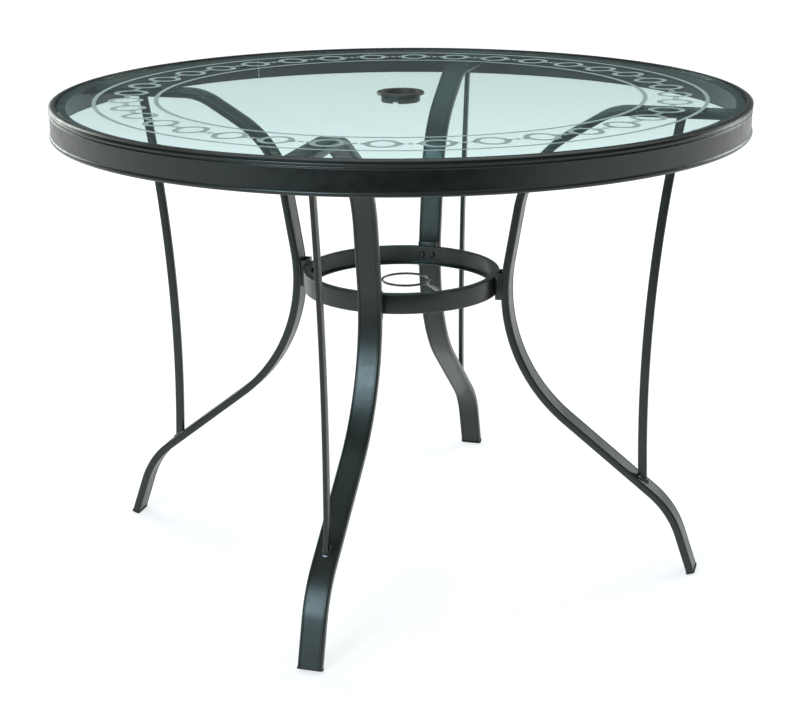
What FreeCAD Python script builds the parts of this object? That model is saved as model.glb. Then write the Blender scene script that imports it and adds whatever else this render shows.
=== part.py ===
# Round patio umbrella table: a glass top dropped into a rolled aluminium rim,
# carried on four bent flat-bar legs that a stretcher ring ties together.
# Millimetres. The floor is z = 0 and the umbrella pole's axis is x = y = 0.
# Each leg lies in a radial plane: right is +X, back +Y, left -X and front -Y.

import FreeCAD, Part
import math
import os
import Sketcher

DRIVING_SIZES = [
    ("table_height", 711.0, "floor to the crest of the rim"),
    ("rim_radius", 508.0, "rim, over the edge of its land"),
    ("rim_height", 46.0, "rim band, crest to underside"),
    ("rim_wall", 2.5, "wall of the rim extrusion"),
    ("land_width", 10.0, "rounded top of the rim beside the glass"),
    ("land_crest", 7.0, "crest of the land, in from the rim's edge"),
    ("land_fall", 2.4, "land's outer edge below its crest"),
    ("land_dip", 0.8, "land's inner edge below its crest"),
    ("land_lip", 0.6, "thickness of the land's outer edge"),
    ("band_inset", 1.0, "band's plain face in from the rim's edge"),
    ("bead_drop", 5.0, "top of the upper bead below the crest"),
    ("bead_height", 4.2, "upper bead"),
    ("bead_swell", 1.0, "how far the upper bead stands out"),
    ("line_drop", 11.2, "top of the fine bead below the crest"),
    ("line_height", 1.8, "fine bead"),
    ("line_swell", 0.5, "how far the fine bead stands out"),
    ("skirt_height", 6.5, "bottom bead"),
    ("skirt_swell", 1.8, "how far the bottom bead stands out"),
    ("ledge_reach", 14.0, "glass ledge, in from the land"),
    ("ledge_plate", 2.5, "thickness of the glass ledge"),
    ("glass_plate", 5.0, "tempered glass"),
    ("glass_recess", 1.5, "top of the glass below the crest"),
    ("glass_gap", 0.8, "clearance between the glass and the rim"),
    ("glass_arris", 0.6, "ground edge of the glass"),
    ("pad_radius", 6.0, "glass cushion disc"),
    ("pad_plate", 1.0, "glass cushion thickness"),
    ("pole_bore", 25.5, "bore radius of the hole ring"),
    ("collar_wall", 3.0, "wall of the hole ring's collar"),
    ("collar_drop", 9.0, "collar below the glass"),
    ("collar_gap", 0.5, "clearance between the collar and the glass"),
    ("flange_reach", 6.5, "hole ring's flange beyond the collar"),
    ("flange_plate", 3.8, "flange thickness"),
    ("flange_edge", 1.4, "flange thickness at its rim"),
    ("notch_width", 8.0, "snap notch in the collar's lower edge"),
    ("notch_height", 2.4, "height of the snap notch"),
    ("leg_width", 35.0, "leg bar across its wide face"),
    ("leg_plate", 12.0, "leg bar thickness"),
    ("leg_edge", 3.2, "rounding of the leg bar's long edges"),
    ("leg_border", 3.8, "raised border along each side of the leg's wide faces"),
    ("leg_sink", 0.4, "wide faces below their borders"),
    ("leg_wall", 2.2, "wall of the hollow leg bar"),
    ("leg_core_round", 1.0, "rounding of the hollow's corners"),
    ("leg_gap", 1.0, "leg end short of the rim's outer wall"),
    ("shoulder_inset", 192.6, "leg corner below the top, in from the rim's edge"),
    ("shoulder_bend", 78.5, "bend radius there"),
    ("neck_offset", 50.0, "leg's run past the stretcher ring, out over the rise below"),
    ("neck_rise", 301.5, "rise over which it leans out by that much"),
    ("neck_drop", 74.4, "leg corner above the stretcher ring, below the leg's level top"),
    ("neck_bend", 153.5, "bend radius there"),
    ("waist_inset", 5.8, "leg corner below the stretcher ring, in from the ring"),
    ("waist_drop", 94.8, "its fall below the ring's underside"),
    ("waist_bend", 250.5, "bend radius there"),
    ("ankle_inset", 85.4, "leg corner above the foot, in from the rim's edge"),
    ("ankle_level", 100.0, "its height"),
    ("ankle_bend", 134.5, "bend radius there"),
    ("foot_slant", 19.0, "foot out of plumb, in degrees"),
    ("cap_lip", 0.8, "foot cap's sole beyond the bar"),
    ("cap_floor", 2.5, "foot cap's sole"),
    ("cap_height", 13.0, "foot cap over all"),
    ("cap_gap", 0.1, "clearance of the foot cap's plug in the bar"),
    ("strut_depth", 13.4, "strut bar, radially"),
    ("strut_width", 6.6, "strut bar, across"),
    ("strut_edge", 1.6, "rounding of the strut's long edges"),
    ("strut_head_inset", 96.6, "strut's head, in from the rim's edge"),
    ("strut_foot_inset", 131.2, "strut's foot, in from the rim's edge"),
    ("strut_curve", 2395.0, "radius of the strut's long curve"),
    ("ring_radius", 148.4, "stretcher ring, over its web"),
    ("ring_height", 29.6, "stretcher ring's channel, over its flanges"),
    ("ring_level", 415.4, "underside of the stretcher ring"),
    ("ring_plate", 2.5, "channel wall"),
    ("ring_lip", 11.0, "channel flange, radially"),
    ("ring_round", 2.0, "rounding of the channel's outer corners"),
    ("bracket_width", 30.0, "leg bracket's channel, across"),
    ("bracket_height", 40.0, "leg bracket's channel, length upwards"),
    ("bracket_plate", 2.5, "bracket wall"),
    ("bolt_radius", 2.5, "bracket bolt's shank"),
    ("bolt_spread", 8.4, "bracket bolt from the leg's middle plane"),
    ("bolt_head_radius", 4.4, "bracket bolt's head"),
    ("bolt_head_height", 2.8, "height of that head"),
    ("bolt_end", 1.2, "bolt's end beyond its nut"),
    ("nut_flats", 8.0, "nut across its flats"),
    ("nut_height", 4.0, "nut height"),
    ("hole_gap", 0.2, "clearance round each bolt and screw"),
    ("thread_gap", 0.05, "clearance of the nut on its bolt"),
    ("wire_radius", 1.8, "pole loop's wire"),
    ("eye_radius", 35.6, "pole loop's eye, over the wire's middle"),
    ("eye_aside", 6.3, "middle of the eye from the pole's axis, towards the arms"),
    ("loop_rise", 11.6, "pole loop above the ring's underside"),
    ("loop_turn", -55.0, "direction of the loop's arms, in degrees"),
    ("arm_aside", 30.9, "middle of the pair of arms from the pole's axis"),
    ("arm_gap", 0.1, "between the two arms"),
    ("back_bend", 15.0, "bend from the eye to its far arm"),
    ("front_bend", 5.0, "bend from the eye to its near arm"),
    ("weld_gap", 0.1, "arms short of the ring, filled by the weld"),
    ("screw_radius", 2.4, "leg screw's shank"),
    ("screw_spread", 8.0, "leg screw from the leg's middle plane"),
    ("screw_head_radius", 4.5, "leg screw's head"),
    ("screw_head_height", 2.8, "height of that head"),
]
SIDES = ("right", "back", "left", "front")
LEGS = len(SIDES)
PADS = 8
NOTCHES = 4
HEX_SIDES = 6

doc = FreeCAD.newDocument("umbrella_table")
sheet = doc.addObject("Spreadsheet::Sheet", "Sizes")


class Size:
    """A number together with the sheet expression that gives it."""

    def __init__(self, value, text):
        self.value = value
        self.text = text

    def __add__(self, other):
        other = sized(other)
        return Size(self.value + other.value, "(%s + %s)" % (self.text, other.text))

    def __sub__(self, other):
        other = sized(other)
        return Size(self.value - other.value, "(%s - %s)" % (self.text, other.text))

    def __mul__(self, other):
        other = sized(other)
        return Size(self.value * other.value, "(%s * %s)" % (self.text, other.text))

    def __truediv__(self, other):
        other = sized(other)
        return Size(self.value / other.value, "(%s / %s)" % (self.text, other.text))

    def __neg__(self):
        return self * -1


def sized(number):
    """A plain number as a size."""
    if isinstance(number, Size):
        return number
    return Size(float(number), "(%.9f)" % number)


def cosine(degrees):
    degrees = sized(degrees)
    return Size(math.cos(math.radians(degrees.value)), "cos(%s)" % degrees.text)


def sine(degrees):
    degrees = sized(degrees)
    return Size(math.sin(math.radians(degrees.value)), "sin(%s)" % degrees.text)


def root(number):
    return Size(math.sqrt(number.value), "sqrt(%s)" % number.text)


def crown_radius(half_chord, rise):
    """Radius of an arc that rises this much over half its chord."""
    return (half_chord * half_chord + rise * rise) / (rise * 2)


class Sizes:
    """The driving sizes by name."""


S = Sizes()
parts = []
for row, (word, number, meaning) in enumerate(DRIVING_SIZES, start=1):
    sheet.set("A%d" % row, word)
    sheet.set("B%d" % row, str(number))
    sheet.set("C%d" % row, meaning)
    sheet.setAlias("B%d" % row, word)
    setattr(S, word, Size(number, "Sizes." + word))
doc.recompute()


def bind(thing, name, size):
    """Tie one property of an object to a size."""
    size = sized(size)
    setattr(thing, name, size.value)
    thing.setExpression(name, size.text)


def bind_place(thing, x, y, z, turn=0, tilt=0):
    """Tie a placement to sizes: a turn about Z after a tilt about Y, in degrees."""
    x, y, z, turn, tilt = (sized(size) for size in (x, y, z, turn, tilt))
    thing.Placement = FreeCAD.Placement(FreeCAD.Vector(x.value, y.value, z.value),
                                        FreeCAD.Rotation(turn.value, tilt.value, 0))
    thing.setExpression("Placement", "placement(vector(%s; %s; %s); rotation(%s; %s; 0))"
                        % (x.text, y.text, z.text, turn.text, tilt.text))


def origin_feature(body, role):
    return [f for f in body.Origin.OriginFeatures if f.Role == role][0]


def new_sketch(body, name, role, offset=0):
    """A sketch on one of the body's origin planes, moved along its normal."""
    sketch = body.newObject("Sketcher::SketchObject", name)
    sketch.AttachmentSupport = (origin_feature(body, role), [""])
    sketch.MapMode = "FlatFace"
    offset = sized(offset)
    sketch.AttachmentOffset.Base = FreeCAD.Vector(0, 0, offset.value)
    sketch.setExpression("AttachmentOffset.Base.z", offset.text)
    return sketch


def bind_constraint(sketch, kind, *entries):
    """Add a constraint whose last entry is a size."""
    size = sized(entries[-1])
    index = sketch.addConstraint(Sketcher.Constraint(kind, *entries[:-1], size.value))
    sketch.setExpression("Constraints[%d]" % index, size.text)


def fix_point(sketch, edge, end, x, y):
    """Hold one end of an edge at a sized place."""
    bind_constraint(sketch, "DistanceX", -1, 1, edge, end, x)
    bind_constraint(sketch, "DistanceY", -1, 1, edge, end, y)


def add_line(sketch, start, end):
    """Add a line; give it with the numbers of its head and tail."""
    return sketch.addGeometry(Part.LineSegment(start, end), False), 1, 2


def add_arc(sketch, start, crown, end):
    """Add an arc, which a sketch keeps anticlockwise; give it as add_line does."""
    if (crown - start).cross(end - crown).z < 0:
        return sketch.addGeometry(Part.Arc(end, crown, start), False), 2, 1
    return sketch.addGeometry(Part.Arc(start, crown, end), False), 1, 2


def crown_point(start, end, radius):
    """Middle of the short arc that bulges to the right of the line start to end."""
    half = (end - start) * 0.5
    aside = FreeCAD.Vector(half.y, -half.x, 0).normalize()
    inset = math.sqrt(radius * radius - half.Length ** 2)
    return start + half + aside * (radius - inset)


def add_outline(sketch, corners):
    """Join (x, y) corners in turn; a third entry is the radius of an arc onwards."""
    places = [(sized(corner[0]), sized(corner[1])) for corner in corners]
    points = [FreeCAD.Vector(x.value, y.value, 0) for x, y in places]
    edges = []
    for index, corner in enumerate(corners):
        start = points[index]
        end = points[(index + 1) % len(points)]
        if len(corner) == 3:
            crown = crown_point(start, end, corner[2].value)
            edges.append(add_arc(sketch, start, crown, end))
            bind_constraint(sketch, "Radius", edges[-1][0], corner[2])
        else:
            edges.append(add_line(sketch, start, end))
    for index, (edge, head, tail) in enumerate(edges):
        after, after_head, after_tail = edges[(index + 1) % len(edges)]
        sketch.addConstraint(Sketcher.Constraint("Coincident", edge, tail, after, after_head))
        fix_point(sketch, edge, head, *places[index])


def add_rectangle(sketch, x, y, wide, high, rounding):
    """A rectangle with rounded corners about the point x, y."""
    left, right = x - wide / 2, x + wide / 2
    low, high = y - high / 2, y + high / 2
    add_outline(sketch, [
        (left + rounding, low),
        (right - rounding, low, rounding),
        (right, low + rounding),
        (right, high - rounding, rounding),
        (right - rounding, high),
        (left + rounding, high, rounding),
        (left, high - rounding),
        (left, low + rounding, rounding),
    ])


def add_circle(sketch, x, y, radius):
    x, y = sized(x), sized(y)
    centre = FreeCAD.Vector(x.value, y.value, 0)
    circle = Part.Circle(centre, FreeCAD.Vector(0, 0, 1), radius.value)
    edge = sketch.addGeometry(circle, False)
    fix_point(sketch, edge, 3, x, y)
    bind_constraint(sketch, "Radius", edge, radius)


def add_pair(sketch, across, along, spread, radius):
    """Two circles, one each side of the middle line."""
    for hand in (-1, 1):
        if across:
            add_circle(sketch, spread * hand, along, radius)
        else:
            add_circle(sketch, along, spread * hand, radius)


def add_bent_path(sketch, start, corners, end):
    """Straight runs from start to end past sized corners, each with its bend."""
    points = [FreeCAD.Vector(place[0].value, place[1].value, 0)
              for place in [start] + corners + [end]]
    runs = []
    bends = []
    run_start = points[0]
    for index, (x, y, radius) in enumerate(corners, start=1):
        corner = points[index]
        towards = (corner - points[index - 1]).normalize()
        away = (points[index + 1] - corner).normalize()
        half_turn = towards.getAngle(away) / 2
        setback = radius.value * math.tan(half_turn)
        bend_start = corner - towards * setback
        bend_end = corner + away * setback
        sagitta = radius.value / math.cos(half_turn) - radius.value
        crown = corner + (away - towards).normalize() * sagitta
        runs.append(add_line(sketch, run_start, bend_start))
        bends.append(add_arc(sketch, bend_start, crown, bend_end))
        run_start = bend_end
    runs.append(add_line(sketch, run_start, points[-1]))
    for index, (bend, head, tail) in enumerate(bends):
        before, after = runs[index][0], runs[index + 1][0]
        sketch.addConstraint(Sketcher.Constraint("Tangent", before, 2, bend, head))
        sketch.addConstraint(Sketcher.Constraint("Tangent", bend, tail, after, 1))
        x, y, radius = corners[index]
        bind_constraint(sketch, "Radius", bend, radius)
        corner = sketch.addGeometry(Part.Point(points[index + 1]), True)
        sketch.addConstraint(Sketcher.Constraint("PointOnObject", corner, 1, before))
        sketch.addConstraint(Sketcher.Constraint("PointOnObject", corner, 1, after))
        fix_point(sketch, corner, 1, x, y)
    fix_point(sketch, runs[0][0], 1, *start)
    fix_point(sketch, runs[-1][0], 2, *end)


def new_body(label, alike=1):
    """A body for one piece, or for a group of like pieces; its label names its file."""
    body = doc.addObject("PartDesign::Body", "Body_" + label)
    body.Label = label
    body.AllowCompound = alike > 1
    parts.append(body)
    return body


def add_revolution(body, sketch):
    """Turn a profile on the XZ plane round the vertical axis."""
    hoop = body.newObject("PartDesign::Revolution", "Turned_" + sketch.Name)
    hoop.Profile = sketch
    hoop.ReferenceAxis = (sketch, ["V_Axis"])
    hoop.Angle = 360
    return hoop


def add_pad(body, sketch, length):
    pad = body.newObject("PartDesign::Pad", "Pad_" + sketch.Name)
    pad.Profile = sketch
    bind(pad, "Length", length)
    return pad


def add_pocket(body, sketch, length):
    """Cut from the sketch's plane against its normal."""
    pocket = body.newObject("PartDesign::Pocket", "Pocket_" + sketch.Name)
    pocket.Profile = sketch
    bind(pocket, "Length", length)
    return pocket


def add_pipe(body, profile, path):
    pipe = body.newObject("PartDesign::AdditivePipe", "Pipe_" + path.Name)
    pipe.Profile = (profile, [""])
    pipe.Spine = (path, [])
    return pipe


def repeat_round(body, features, count):
    """Repeat features round the vertical axis."""
    pattern = body.newObject("PartDesign::PolarPattern", "Round_" + features[0].Name)
    pattern.Originals = features
    pattern.Axis = (origin_feature(body, "Z_Axis"), [""])
    pattern.Angle = 360
    pattern.Occurrences = count
    body.Tip = pattern


# Levels and radii that several pieces share.
glass_top = S.table_height - S.glass_recess
glass_under = glass_top - S.glass_plate
ledge_top = glass_under - S.pad_plate
ledge_under = ledge_top - S.ledge_plate
land_inside = S.rim_radius - S.land_width
ledge_inside = land_inside - S.ledge_reach
ledge_middle = ledge_inside + S.ledge_reach / 2
band_face = S.rim_radius - S.band_inset
band_inside = band_face - S.rim_wall
collar_outside = S.pole_bore + S.collar_wall
leg_middle = ledge_under - S.leg_plate / 2
leg_under = ledge_under - S.leg_plate

# The rim is one aluminium extrusion, rolled to a hoop and welded at its ends.
# A rounded land tops a band with two beads and a rolled lower edge. Behind the
# band an inner wall ends in the ledge that carries the glass and takes the legs.
rim = new_body("rim_ring")
rim_section = new_sketch(rim, "RimSection", "XZ_Plane")
crest = S.table_height
rim_under = crest - S.rim_height
lip_under = crest - S.land_fall - S.land_lip
hollow_top = crest - S.land_fall - S.rim_wall
add_outline(rim_section, [
    (band_inside, rim_under),
    (band_face, rim_under, crown_radius(S.skirt_height / 2, S.skirt_swell)),
    (band_face, rim_under + S.skirt_height),
    (band_face, crest - S.line_drop - S.line_height,
     crown_radius(S.line_height / 2, S.line_swell)),
    (band_face, crest - S.line_drop),
    (band_face, crest - S.bead_drop - S.bead_height,
     crown_radius(S.bead_height / 2, S.bead_swell)),
    (band_face, crest - S.bead_drop),
    (band_face, lip_under),
    (S.rim_radius, lip_under),
    (S.rim_radius, crest - S.land_fall, crown_radius(S.land_crest, S.land_fall)),
    (S.rim_radius - S.land_crest, crest,
     crown_radius(S.land_width - S.land_crest, S.land_dip)),
    (land_inside, crest - S.land_dip),
    (land_inside, ledge_top),
    (ledge_inside, ledge_top),
    (ledge_inside, ledge_under),
    (land_inside + S.rim_wall, ledge_under),
    (land_inside + S.rim_wall, hollow_top),
    (band_inside, hollow_top),
])
add_revolution(rim, rim_section)
ledge_holes = new_sketch(rim, "LedgeHoles", "XY_Plane", ledge_top)
add_pair(ledge_holes, False, ledge_middle, S.screw_spread, S.screw_radius + S.hole_gap)
repeat_round(rim, [add_pocket(rim, ledge_holes, S.ledge_plate)], LEGS)

# The glass is a tempered disc with ground edges and a hole for the pole.
glass = new_body("glass_top")
glass_section = new_sketch(glass, "GlassSection", "XZ_Plane")
glass_outside = land_inside - S.glass_gap
glass_hole = collar_outside + S.collar_gap
add_outline(glass_section, [
    (glass_hole + S.glass_arris, glass_under),
    (glass_outside - S.glass_arris, glass_under),
    (glass_outside, glass_under + S.glass_arris),
    (glass_outside, glass_top - S.glass_arris),
    (glass_outside - S.glass_arris, glass_top),
    (glass_hole + S.glass_arris, glass_top),
    (glass_hole, glass_top - S.glass_arris),
    (glass_hole, glass_under + S.glass_arris),
])
add_revolution(glass, glass_section)

# Clear cushions between the ledge and the glass, two in each quarter.
pads = new_body("glass_pads", PADS)
pad_circle = new_sketch(pads, "PadCircle", "XY_Plane", ledge_top)
pad_turn = 180 / PADS
add_circle(pad_circle, ledge_middle * cosine(pad_turn), ledge_middle * sine(pad_turn),
           S.pad_radius)
repeat_round(pads, [add_pad(pads, pad_circle, S.pad_plate)], PADS)

# The hole ring is moulded: its flange lies on the glass, its collar drops through,
# and notches in the collar's lower edge let it spring.
hole_ring = new_body("umbrella_hole_ring")
hole_ring_section = new_sketch(hole_ring, "HoleRingSection", "XZ_Plane")
collar_under = glass_under - S.collar_drop
flange_outside = collar_outside + S.flange_reach
flange_top = glass_top + S.flange_plate
flange_round = S.flange_plate - S.flange_edge
bore_round = S.flange_edge
add_outline(hole_ring_section, [
    (S.pole_bore, collar_under),
    (collar_outside, collar_under),
    (collar_outside, glass_top),
    (flange_outside, glass_top),
    (flange_outside, glass_top + S.flange_edge, flange_round),
    (flange_outside - flange_round, flange_top),
    (S.pole_bore + bore_round, flange_top, bore_round),
    (S.pole_bore, flange_top - bore_round),
])
add_revolution(hole_ring, hole_ring_section)
notch = new_sketch(hole_ring, "Notch", "XZ_Plane")
add_outline(notch, [
    (-S.notch_width / 2, collar_under - S.notch_height),
    (S.notch_width / 2, collar_under - S.notch_height),
    (S.notch_width / 2, collar_under + S.notch_height),
    (-S.notch_width / 2, collar_under + S.notch_height),
])
repeat_round(hole_ring, [add_pocket(hole_ring, notch, collar_outside * 2)], NOTCHES)

# The stretcher is a channel rolled to a hoop, open to the middle, with two bolt
# holes at each leg.
stretcher = new_body("stretcher_ring")
channel = new_sketch(stretcher, "Channel", "XZ_Plane")
ring_top = S.ring_level + S.ring_height
web_inside = S.ring_radius - S.ring_plate
lip_inside = S.ring_radius - S.ring_lip
bolt_level = S.ring_level + S.ring_height / 2
add_outline(channel, [
    (lip_inside, S.ring_level),
    (S.ring_radius - S.ring_round, S.ring_level, S.ring_round),
    (S.ring_radius, S.ring_level + S.ring_round),
    (S.ring_radius, ring_top - S.ring_round, S.ring_round),
    (S.ring_radius - S.ring_round, ring_top),
    (lip_inside, ring_top),
    (lip_inside, ring_top - S.ring_plate),
    (web_inside, ring_top - S.ring_plate),
    (web_inside, S.ring_level + S.ring_plate),
    (lip_inside, S.ring_level + S.ring_plate),
])
add_revolution(stretcher, channel)
bolt_hole = S.bolt_radius + S.hole_gap
ring_holes = new_sketch(stretcher, "RingHoles", "YZ_Plane")
add_pair(ring_holes, True, bolt_level, S.bolt_spread, bolt_hole)
repeat_round(stretcher, [add_pocket(stretcher, ring_holes, S.ring_radius * 2)], LEGS)

# Each leg is a flat hollow aluminium bar with a raised border along its wide faces,
# bent in its own plane: level under the rim, down and in to the stretcher ring, then
# out to a foot that leans. Two screws hold its top.
foot_level = S.cap_floor * cosine(S.foot_slant) \
    + (S.leg_plate / 2 + S.cap_lip) * sine(S.foot_slant)
ankle_reach = S.rim_radius - S.ankle_inset
foot_reach = ankle_reach \
    + (S.ankle_level - foot_level) * sine(S.foot_slant) / cosine(S.foot_slant)
leg_end = band_inside - S.leg_gap
shoulder_reach = S.rim_radius - S.shoulder_inset
waist_reach = S.ring_radius - S.waist_inset
waist_level = S.ring_level - S.waist_drop
neck_level = leg_middle - S.neck_drop
neck_reach = waist_reach + S.neck_offset * (neck_level - waist_level) / S.neck_rise
slope_run = ankle_reach - waist_reach
slope_fall = waist_level - S.ankle_level
slope_length = root(slope_run * slope_run + slope_fall * slope_fall)
# The strut stands on the leg's wide faces, between their borders. On the slanting run
# that face lies this far out and up from the middle line.
strut_seat = S.leg_plate / 2 - S.leg_sink
strut_head_level = leg_middle - strut_seat
face_x = strut_seat * slope_fall / slope_length
face_z = strut_seat * slope_run / slope_length
strut_head_reach = S.rim_radius - S.strut_head_inset
strut_foot_reach = S.rim_radius - S.strut_foot_inset
strut_foot_level = S.ankle_level + (ankle_reach - strut_foot_reach) * slope_fall / slope_run
drop_run = neck_reach - waist_reach
drop_fall = neck_level - waist_level
drop_length = root(drop_run * drop_run + drop_fall * drop_fall)
# Centre of the waist bend: as far from the run above it as from the run below.
bend_scale = S.waist_bend / (slope_run * drop_fall + slope_fall * drop_run)
bend_x = waist_reach + bend_scale * (slope_run * drop_length + drop_run * slope_length)
bend_z = waist_level + bend_scale * (drop_fall * slope_length - slope_fall * drop_length)
bracket_under = bolt_level - S.bracket_height / 2
web_outside = S.ring_radius + S.bracket_plate
# Section of the leg bar, which stands upright at the leg's level end.
leg_side = S.leg_width / 2
leg_corner = leg_side - S.leg_edge
leg_step = leg_side - S.leg_border
leg_corners = []
for hand in (-1, 1):
    face = leg_middle + S.leg_plate / 2 * hand
    leg_corners += [
        (leg_corner * hand, face),
        (leg_step * hand, face),
        (leg_step * hand, face - S.leg_sink * hand),
        (leg_step * -hand, face - S.leg_sink * hand),
        (leg_step * -hand, face),
        (leg_corner * -hand, face, S.leg_edge),
        (leg_side * -hand, face - S.leg_edge * hand),
        (leg_side * -hand, leg_middle - (S.leg_plate / 2 - S.leg_edge) * hand, S.leg_edge),
    ]
for index, side in enumerate(SIDES):
    turn = index * 360 / LEGS

    leg = new_body("leg_" + side)
    leg_path = new_sketch(leg, "LegPath_" + side, "XZ_Plane")
    add_bent_path(leg_path, (leg_end, leg_middle), [
        (shoulder_reach, leg_middle, S.shoulder_bend),
        (neck_reach, neck_level, S.neck_bend),
        (waist_reach, waist_level, S.waist_bend),
        (ankle_reach, S.ankle_level, S.ankle_bend),
    ], (foot_reach, foot_level))
    leg_bar = new_sketch(leg, "LegBar_" + side, "YZ_Plane", leg_end)
    add_outline(leg_bar, leg_corners)
    add_rectangle(leg_bar, sized(0), leg_middle, S.leg_width - S.leg_wall * 2,
                  S.leg_plate - S.leg_wall * 2, S.leg_core_round)
    add_pipe(leg, leg_bar, leg_path)
    leg_holes = new_sketch(leg, "LegHoles_" + side, "XY_Plane", ledge_under)
    add_pair(leg_holes, False, ledge_middle, S.screw_spread, S.screw_radius + S.hole_gap)
    add_pocket(leg, leg_holes, S.leg_plate)
    bind_place(leg, 0, 0, 0, turn)

    # A thinner bar stands on the leg's slanting run and props its level top. It is
    # coped to the slope and welded at both ends.
    strut = new_body("strut_" + side)
    strut_path = new_sketch(strut, "StrutPath_" + side, "XZ_Plane")
    head = FreeCAD.Vector(strut_head_reach.value, strut_head_level.value, 0)
    foot = FreeCAD.Vector(strut_foot_reach.value, strut_foot_level.value, 0)
    crown = crown_point(head, foot, S.strut_curve.value)
    curve, at_head, at_foot = add_arc(strut_path, head, crown, foot)
    fix_point(strut_path, curve, at_head, strut_head_reach, strut_head_level)
    fix_point(strut_path, curve, at_foot, strut_foot_reach, strut_foot_level)
    bind_constraint(strut_path, "Radius", curve, S.strut_curve)
    strut_bar = new_sketch(strut, "StrutBar_" + side, "XY_Plane", strut_head_level)
    add_rectangle(strut_bar, strut_head_reach, sized(0), S.strut_depth, S.strut_width,
                  S.strut_edge)
    add_pipe(strut, strut_bar, strut_path)
    cope = new_sketch(strut, "Cope_" + side, "XZ_Plane", -S.strut_width)
    add_outline(cope, [
        (waist_reach + face_x, S.ankle_level - slope_fall),
        (ankle_reach + face_x, S.ankle_level - slope_fall),
        (ankle_reach + face_x, S.ankle_level + face_z),
        (waist_reach + face_x, waist_level + face_z),
    ])
    cope_cut = add_pocket(strut, cope, S.strut_width * 2)
    cope_cut.Reversed = True
    bind_place(strut, 0, 0, 0, turn)

    # The foot cap is moulded: a thin sole under the square end of the bar, and a plug
    # that is pushed up its hollow. Its own frame stands on the bar's end and leans.
    cap = new_body("foot_cap_" + side)
    cap_sole = new_sketch(cap, "CapSole_" + side, "XY_Plane", -S.cap_floor)
    add_rectangle(cap_sole, sized(0), sized(0), S.leg_plate + S.cap_lip * 2,
                  S.leg_width + S.cap_lip * 2, S.leg_edge + S.cap_lip)
    add_pad(cap, cap_sole, S.cap_floor)
    plug_inset = (S.leg_wall + S.cap_gap) * 2
    cap_plug = new_sketch(cap, "CapPlug_" + side, "XY_Plane", -S.cap_floor)
    add_rectangle(cap_plug, sized(0), sized(0), S.leg_plate - plug_inset,
                  S.leg_width - plug_inset, S.leg_core_round)
    add_pad(cap, cap_plug, S.cap_height)
    bind_place(cap, foot_reach * round(math.cos(math.radians(turn))),
               foot_reach * round(math.sin(math.radians(turn))),
               foot_level, turn, -S.foot_slant)

    # The bracket is a short channel: its web is bolted to the ring and its flanges
    # reach out to the leg, shaped to the leg's curve and welded there.
    bracket = new_body("leg_bracket_" + side)
    channel_outline = new_sketch(bracket, "BracketChannel_" + side, "XY_Plane",
                                 bracket_under)
    flange_end = bend_x - S.waist_bend + S.leg_plate
    half_width = S.bracket_width / 2
    flange_face = half_width - S.bracket_plate
    add_outline(channel_outline, [
        (S.ring_radius, -half_width),
        (flange_end, -half_width),
        (flange_end, -flange_face),
        (web_outside, -flange_face),
        (web_outside, flange_face),
        (flange_end, flange_face),
        (flange_end, half_width),
        (S.ring_radius, half_width),
    ])
    add_pad(bracket, channel_outline, S.bracket_height)
    leg_curve = new_sketch(bracket, "LegCurve_" + side, "XZ_Plane", -half_width)
    add_circle(leg_curve, bend_x, bend_z, S.waist_bend + S.leg_plate / 2)
    curve_cut = add_pocket(bracket, leg_curve, S.bracket_width)
    curve_cut.Reversed = True
    bracket_holes = new_sketch(bracket, "BracketHoles_" + side, "YZ_Plane", web_outside)
    add_pair(bracket_holes, True, bolt_level, S.bolt_spread, bolt_hole)
    add_pocket(bracket, bracket_holes, S.bracket_plate)
    bind_place(bracket, 0, 0, 0, turn)

# Two bolts hold each bracket: heads inside the ring, nuts inside the bracket.
bolts = new_body("bracket_bolts", LEGS * 2)
head_edge = S.bolt_spread + S.bolt_head_radius
head_seat = root(web_inside * web_inside - head_edge * head_edge)
nut_end = web_outside + S.nut_height
bolt_heads = new_sketch(bolts, "BoltHeads", "YZ_Plane", head_seat - S.bolt_head_height)
add_pair(bolt_heads, True, bolt_level, S.bolt_spread, S.bolt_head_radius)
bolt_shanks = new_sketch(bolts, "BoltShanks", "YZ_Plane", head_seat)
add_pair(bolt_shanks, True, bolt_level, S.bolt_spread, S.bolt_radius)
repeat_round(bolts, [
    add_pad(bolts, bolt_heads, S.bolt_head_height),
    add_pad(bolts, bolt_shanks, nut_end + S.bolt_end - head_seat),
], LEGS)

nuts = new_body("bracket_nuts", LEGS * 2)
nut_outline = new_sketch(nuts, "NutOutline", "YZ_Plane", web_outside)
hex_step = 360 / HEX_SIDES
nut_corner = S.nut_flats / 2 / cosine(hex_step / 2)
for hand in (-1, 1):
    add_outline(nut_outline, [
        (S.bolt_spread * hand + nut_corner * cosine((step + 0.5) * hex_step),
         bolt_level + nut_corner * sine((step + 0.5) * hex_step))
        for step in range(HEX_SIDES)])
add_pair(nut_outline, True, bolt_level, S.bolt_spread, S.bolt_radius + S.thread_gap)
repeat_round(nuts, [add_pad(nuts, nut_outline, S.nut_height)], LEGS)

# Two pan-head screws go up through each leg's top into the rim's ledge.
screws = new_body("leg_top_screws", LEGS * 2)
screw_heads = new_sketch(screws, "ScrewHeads", "XY_Plane", leg_under - S.screw_head_height)
add_pair(screw_heads, False, ledge_middle, S.screw_spread, S.screw_head_radius)
screw_shanks = new_sketch(screws, "ScrewShanks", "XY_Plane", leg_under)
add_pair(screw_shanks, False, ledge_middle, S.screw_spread, S.screw_radius)
repeat_round(screws, [
    add_pad(screws, screw_heads, S.screw_head_height),
    add_pad(screws, screw_shanks, S.leg_plate + S.ledge_plate),
], LEGS)

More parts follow.
